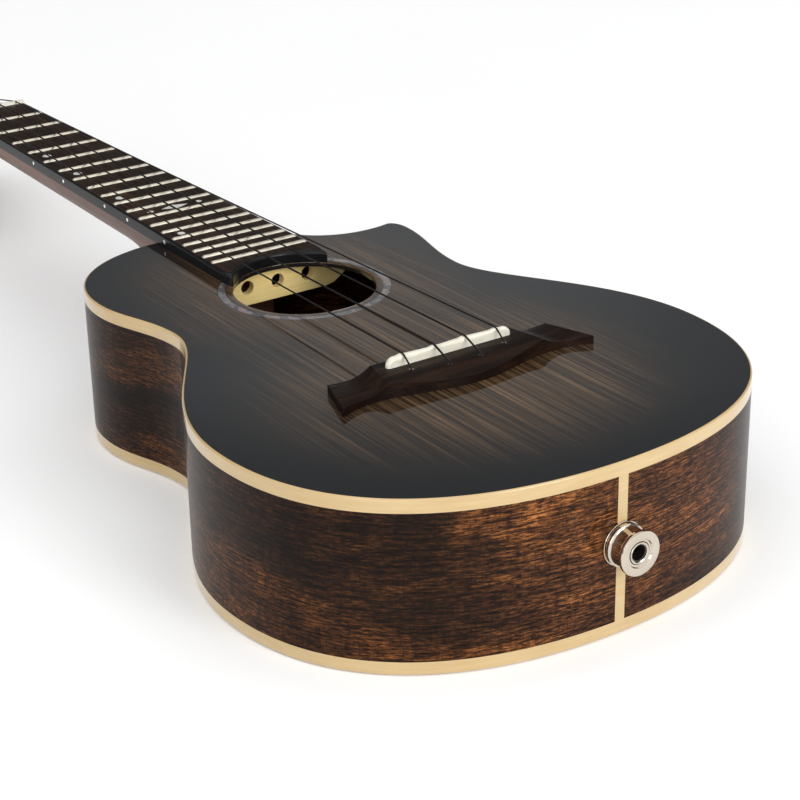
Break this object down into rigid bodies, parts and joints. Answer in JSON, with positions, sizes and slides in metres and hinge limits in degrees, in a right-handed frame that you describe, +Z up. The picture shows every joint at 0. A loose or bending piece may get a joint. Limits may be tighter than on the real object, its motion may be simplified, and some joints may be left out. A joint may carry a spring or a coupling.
{
  "type": "ukulele",
  "caption": "Tenor ukulele with a cutaway body, bound fingerboard, wing-tipped bridge, end-pin jack and turning worm-geared tuning machines.",
  "frame": {"origin": "on the flat back plate's underside, straight below the middle of the saddle line on the centreline", "axes": "+X towards the treble side with the cutaway, +Y from the tail towards the head, +Z up out of the soundboard"},
  "size_m": [0.2244, 0.6802, 0.0815],
  "materials": {
    "stained_top": "gloss",
    "figured_side": "gloss",
    "spruce": "raw",
    "mahogany": "satin",
    "rosewood": "satin",
    "cream_plastic": "gloss",
    "black_plastic": "gloss",
    "bone": "satin",
    "shell": "gloss",
    "nylon": "smooth",
    "nickel": "polished",
    "brass": "polished",
    "pearl_button": "gloss",
    "lead_jacket": "matte"
  },
  "bodies": {
    "instrument": {"back_brace_lower": "mahogany", "back_brace_upper": "mahogany", "back_plate": "figured_side", "binding_back": "cream_plastic", "binding_top": "cream_plastic", "bridge": "rosewood", "bridge_plate": "rosewood", "end_graft_lower": "cream_plastic", "end_graft_upper": "cream_plastic", "fan_brace_bass": "spruce", "fan_brace_centre": "spruce", "fan_brace_treble": "spruce", "fretboard": "rosewood", "fretboard_binding": "black_plastic", "headplate": "rosewood", "jack_barrel": "nickel", "jack_nut": "brass", "jack_strap_button": "nickel", "jack_washer": "nickel", "lining_back_bass": "mahogany", "lining_back_treble": "mahogany", "lining_top_bass": "mahogany", "lining_top_treble": "mahogany", "neck": "mahogany", "neck_block": "mahogany", "nut": "bone", "pickup_lead": "lead_jacket", "piezo_strip": "nickel", "rosette": "shell", "saddle": "bone", "side_bass": "figured_side", "side_treble": "figured_side", "soundboard": "stained_top", "soundhole_brace": "spruce", "string_1": "nylon", "string_2": "nylon", "string_3": "nylon", "string_4": "nylon", "tail_block": "mahogany", "transverse_brace": "spruce", "tuner_1_bushing": "nickel", "tuner_1_plate": "nickel", "tuner_2_bushing": "nickel", "tuner_2_plate": "nickel", "tuner_3_bushing": "nickel", "tuner_3_plate": "nickel", "tuner_4_bushing": "nickel", "tuner_4_plate": "nickel"},
    "key_1": {"tuner_1_worm": "nickel", "tuner_1_button": "pearl_button"},
    "post_1": {"tuner_1_post": "brass"},
    "key_2": {"tuner_2_worm": "nickel", "tuner_2_button": "pearl_button"},
    "post_2": {"tuner_2_post": "brass"},
    "key_3": {"tuner_3_worm": "nickel", "tuner_3_button": "pearl_button"},
    "post_3": {"tuner_3_post": "brass"},
    "key_4": {"tuner_4_worm": "nickel", "tuner_4_button": "pearl_button"},
    "post_4": {"tuner_4_post": "brass"}
  },
  "joints": [
    {"name": "tuner_1_key_turn", "type": "hinge", "parent": "instrument", "child": "key_1", "pos_m": [-0.0195, 0.462, 0.0437], "axis": [1, 0, 0], "continuous": true},
    {"name": "tuner_1_post_turn", "type": "hinge", "parent": "instrument", "child": "post_1", "pos_m": [-0.0195, 0.47357, 0.0605], "axis": [0, 0.225, 0.9744], "continuous": true},
    {"name": "tuner_2_key_turn", "type": "hinge", "parent": "instrument", "child": "key_2", "pos_m": [-0.0215, 0.50682, 0.03335], "axis": [1, 0, 0], "continuous": true},
    {"name": "tuner_2_post_turn", "type": "hinge", "parent": "instrument", "child": "post_2", "pos_m": [-0.0215, 0.5184, 0.05015], "axis": [0, 0.225, 0.9744], "continuous": true},
    {"name": "tuner_3_key_turn", "type": "hinge", "parent": "instrument", "child": "key_3", "pos_m": [0.0215, 0.50682, 0.03335], "axis": [1, 0, 0], "continuous": true},
    {"name": "tuner_3_post_turn", "type": "hinge", "parent": "instrument", "child": "post_3", "pos_m": [0.0215, 0.5184, 0.05015], "axis": [0, 0.225, 0.9744], "continuous": true},
    {"name": "tuner_4_key_turn", "type": "hinge", "parent": "instrument", "child": "key_4", "pos_m": [0.0195, 0.462, 0.0437], "axis": [1, 0, 0], "continuous": true},
    {"name": "tuner_4_post_turn", "type": "hinge", "parent": "instrument", "child": "post_4", "pos_m": [0.0195, 0.47357, 0.0605], "axis": [0, 0.225, 0.9744], "continuous": true}
  ],
  "couplings": [
    {"joint": "tuner_1_post_turn", "follows": "tuner_1_key_turn", "ratio": 0.071429},
    {"joint": "tuner_2_post_turn", "follows": "tuner_2_key_turn", "ratio": 0.071429},
    {"joint": "tuner_3_post_turn", "follows": "tuner_3_key_turn", "ratio": -0.071429},
    {"joint": "tuner_4_post_turn", "follows": "tuner_4_key_turn", "ratio": -0.071429}
  ]
}
